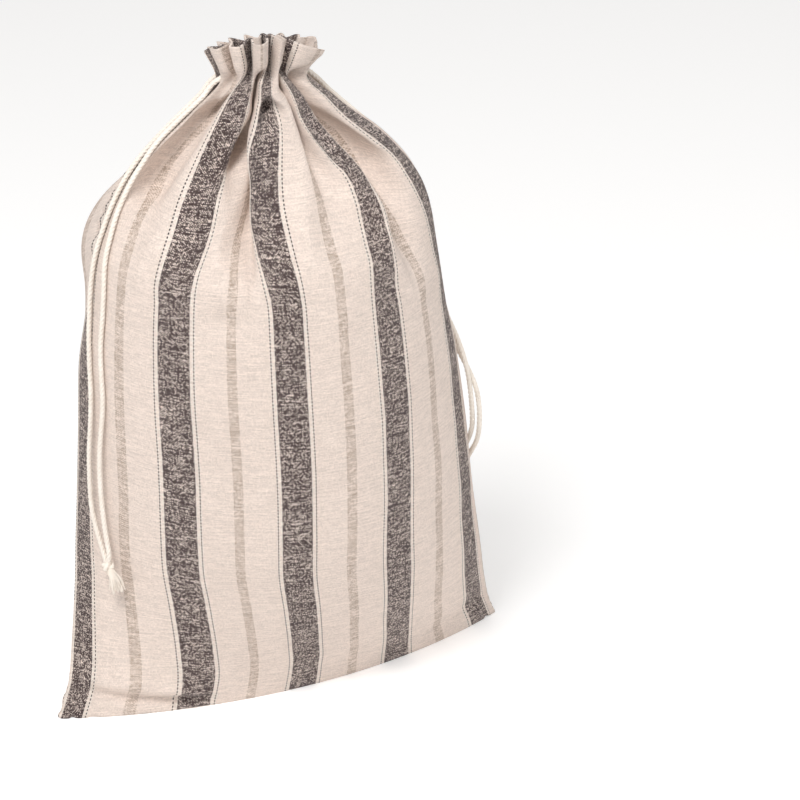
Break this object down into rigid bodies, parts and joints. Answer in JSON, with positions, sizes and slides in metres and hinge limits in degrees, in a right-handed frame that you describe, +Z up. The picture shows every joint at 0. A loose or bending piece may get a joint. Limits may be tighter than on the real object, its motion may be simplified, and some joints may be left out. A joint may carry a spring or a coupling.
{
  "type": "linen bread bag",
  "caption": "Filled drawstring bread bag of striped linen-look cloth, gathered at the neck under a ruffle, with knotted cord ends at both sides.",
  "frame": {"origin": "on the surface the bag stands on, under the middle of the two cloth panels' box", "axes": "+Z up from the bag's bottom to its neck, -Y the striped front, +X to the right as one faces the front"},
  "size_m": [0.2901, 0.1657, 0.4025],
  "materials": {
    "linen": "plain weave, cream with charcoal chambray and taupe stripes",
    "cord": "twisted natural cotton",
    "tassel": "frayed cotton"
  },
  "bodies": {
    "root": {"front_panel": "linen", "back_panel": "linen", "cord_left_a": "cord", "cord_left_b": "cord", "knot_left": "cord", "tassel_left": "tassel", "cord_right_a": "cord", "cord_right_b": "cord", "knot_right": "cord", "tassel_right": "tassel"}
  },
  "joints": []
}
